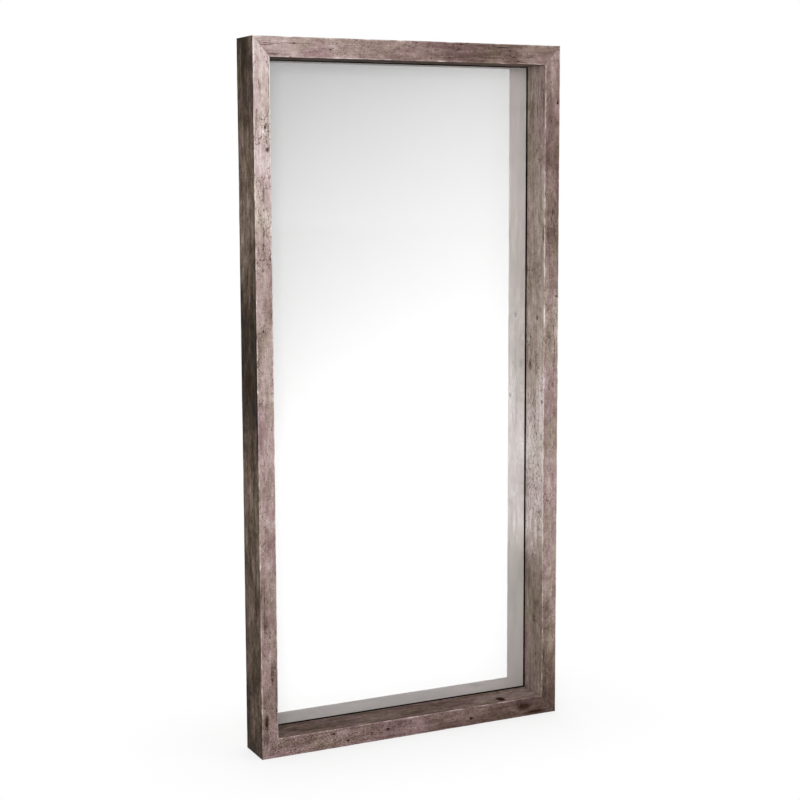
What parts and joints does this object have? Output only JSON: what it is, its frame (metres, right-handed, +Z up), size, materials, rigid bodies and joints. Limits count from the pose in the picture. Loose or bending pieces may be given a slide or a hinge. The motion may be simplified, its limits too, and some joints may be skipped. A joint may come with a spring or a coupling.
{
  "type": "rectangular framed mirror",
  "caption": "Tall rectangular mirror set far back in a deep mitred frame of weathered timber, with swinging hanging rings on its back.",
  "frame": {"origin": "centre of the bottom rail's underside, on the floor, midway between the timber's front and back faces", "axes": "+X to the viewer's right across the width, +Y from the front face towards the wall, +Z up"},
  "size_m": [0.79, 0.107, 1.65],
  "materials": {
    "weathered_timber": "weathered, sawn and waxed",
    "tongue_beech": "planed",
    "silvered_glass": "polished",
    "safety_film": "smooth",
    "foam": "closed-cell foam",
    "rubber": "matte",
    "fibreboard": "smooth pressed board",
    "zinc_steel": "bright zinc",
    "nickel_steel": "nickel plated"
  },
  "bodies": {
    "frame": {"left_stile": "weathered_timber", "right_stile": "weathered_timber", "top_rail": "weathered_timber", "bottom_rail": "weathered_timber", "top_left_mitre_tongue": "tongue_beech", "top_right_mitre_tongue": "tongue_beech", "bottom_left_mitre_tongue": "tongue_beech", "bottom_right_mitre_tongue": "tongue_beech", "mirror_glass": "silvered_glass", "safety_film": "safety_film", "glazing_tape": "foam", "foam_tapes": "foam", "setting_blocks": "rubber", "side_shims": "rubber", "back_panel": "fibreboard", "back_panel_screws": "zinc_steel", "bracket_screws": "zinc_steel", "hanger_screws": "zinc_steel", "top_left_bracket": "zinc_steel", "top_right_bracket": "zinc_steel", "bottom_left_bracket": "zinc_steel", "bottom_right_bracket": "zinc_steel", "left_hanger_strap": "nickel_steel", "right_hanger_strap": "nickel_steel", "top_left_wall_bumper": "rubber", "top_right_wall_bumper": "rubber", "bottom_left_wall_bumper": "rubber", "bottom_right_wall_bumper": "rubber"},
    "left_ring": {"left_hanging_ring": "nickel_steel"},
    "right_ring": {"right_hanging_ring": "nickel_steel"}
  },
  "joints": [
    {"name": "left_ring_swing", "type": "hinge", "parent": "frame", "child": "left_ring", "pos_m": [-0.381, 0.05253, 1.32], "axis": [1, 0, 0], "range_deg": [0, 170]},
    {"name": "right_ring_swing", "type": "hinge", "parent": "frame", "child": "right_ring", "pos_m": [0.381, 0.05253, 1.32], "axis": [1, 0, 0], "range_deg": [0, 170]}
  ]
}
